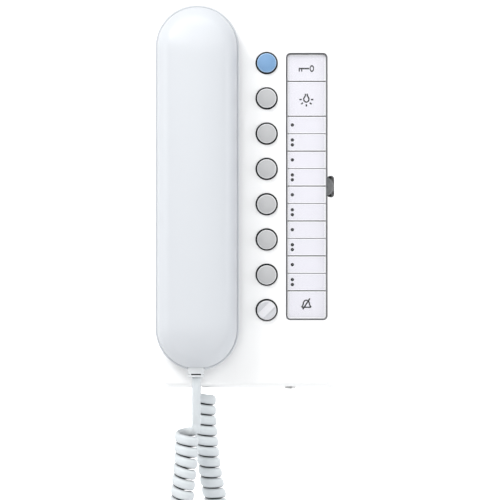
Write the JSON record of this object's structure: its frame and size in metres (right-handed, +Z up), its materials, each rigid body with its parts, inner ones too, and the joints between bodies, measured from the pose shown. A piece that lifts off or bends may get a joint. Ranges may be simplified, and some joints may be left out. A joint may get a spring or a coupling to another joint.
{
  "type": "wall telephone",
  "caption": "Slim wall telephone: flat housing with a column of round keys, a label strip and a side thumbwheel, and a lift-off handset on a curly cord.",
  "frame": {"origin": "centre of the wall plate's flat back, on the wall", "axes": "+Z up, +Y into the wall, +X to the right as a user faces the phone"},
  "size_m": [0.0924, 0.046, 0.3158],
  "materials": {
    "housing_white": "fine satin, pure white",
    "handset_white": "satin, cool white",
    "key_grey": "fine matt, light grey",
    "key_blue": "fine matt, soft blue",
    "key_clear": "clear, slightly milky",
    "dark_plastic": "matt anthracite",
    "wheel_grey": "matt mid grey",
    "label_paper": "smooth card",
    "window_clear": "clear, polished",
    "black_rubber": "matt silicone",
    "board_green": "solder mask",
    "steel": "zinc plated",
    "cord_white": "satin soft PVC, cool white",
    "plug_clear": "clear polycarbonate",
    "lamp_red": "tinted lens"
  },
  "bodies": {
    "housing": {"wall_plate": "housing_white", "housing_cover": "housing_white", "cover_screw": "steel", "key_frame": "dark_plastic", "key_mat": "black_rubber", "status_led": "lamp_red", "light_guide": "key_clear", "label_tray": "dark_plastic", "label_strip": "label_paper", "volume_pot": "dark_plastic", "main_board": "board_green", "terminal_block": "housing_white", "ringer_speaker": "steel", "ringer_gasket": "black_rubber", "hook_spring": "steel", "hook_switch": "dark_plastic", "base_socket": "dark_plastic", "base_plug": "plug_clear", "cord_coil_rear": "cord_white", "cord_lead_base": "cord_white", "board_screw_1": "steel", "terminal_screw_1": "steel", "board_screw_2": "steel", "terminal_screw_2": "steel", "board_screw_3": "steel", "terminal_screw_3": "steel", "board_screw_4": "steel", "terminal_screw_4": "steel"},
    "handset": {"handset_front_shell": "handset_white", "handset_back_shell": "handset_white", "ear_gasket": "black_rubber", "ear_capsule": "dark_plastic", "mic_boot": "black_rubber", "mic_capsule": "steel", "handset_weight": "steel", "handset_screw_1": "steel", "handset_screw_2": "steel", "handset_socket": "dark_plastic", "handset_plug": "plug_clear", "cord_lead_handset": "cord_white", "cord_coil_front": "cord_white"},
    "key_1": {"key_cap_1": "key_blue"},
    "key_2": {"key_cap_2": "key_grey"},
    "key_3": {"key_cap_3": "key_grey"},
    "key_4": {"key_cap_4": "key_grey"},
    "key_5": {"key_cap_5": "key_grey"},
    "key_6": {"key_cap_6": "key_grey"},
    "key_7": {"key_cap_7": "key_grey"},
    "key_8": {"key_cap_8": "key_clear"},
    "volume": {"volume_wheel": "wheel_grey"},
    "window": {"label_window": "window_clear"},
    "hook": {"hook_plunger": "key_grey"}
  },
  "joints": [
    {"name": "key_1_press", "type": "slide", "parent": "housing", "child": "key_1", "axis": [0, 1, 0], "range_m": [0, 0.0012], "stiffness_N_per_m": 900},
    {"name": "key_2_press", "type": "slide", "parent": "housing", "child": "key_2", "axis": [0, 1, 0], "range_m": [0, 0.0012], "stiffness_N_per_m": 900},
    {"name": "key_3_press", "type": "slide", "parent": "housing", "child": "key_3", "axis": [0, 1, 0], "range_m": [0, 0.0012], "stiffness_N_per_m": 900},
    {"name": "key_4_press", "type": "slide", "parent": "housing", "child": "key_4", "axis": [0, 1, 0], "range_m": [0, 0.0012], "stiffness_N_per_m": 900},
    {"name": "key_5_press", "type": "slide", "parent": "housing", "child": "key_5", "axis": [0, 1, 0], "range_m": [0, 0.0012], "stiffness_N_per_m": 900},
    {"name": "key_6_press", "type": "slide", "parent": "housing", "child": "key_6", "axis": [0, 1, 0], "range_m": [0, 0.0012], "stiffness_N_per_m": 900},
    {"name": "key_7_press", "type": "slide", "parent": "housing", "child": "key_7", "axis": [0, 1, 0], "range_m": [0, 0.0012], "stiffness_N_per_m": 900},
    {"name": "key_8_press", "type": "slide", "parent": "housing", "child": "key_8", "axis": [0, 1, 0], "range_m": [0, 0.0012], "stiffness_N_per_m": 900},
    {"name": "volume_turn", "type": "hinge", "parent": "housing", "child": "volume", "pos_m": [0.0367, -0.0182, 0.0022], "axis": [0, -1, 0], "range_deg": [-135, 135]},
    {"name": "handset_lift", "type": "slide", "parent": "housing", "child": "handset", "axis": [0, -1, 0], "range_m": [0, 0.06]},
    {"name": "hook_rise", "type": "slide", "parent": "housing", "child": "hook", "axis": [0, -1, 0], "range_m": [0, 0.003]},
    {"name": "window_lift", "type": "slide", "parent": "housing", "child": "window", "axis": [0, -1, 0], "range_m": [0, 0.008]}
  ],
  "couplings": [
    {"joint": "hook_rise", "follows": "handset_lift", "ratio": 0.05}
  ]
}
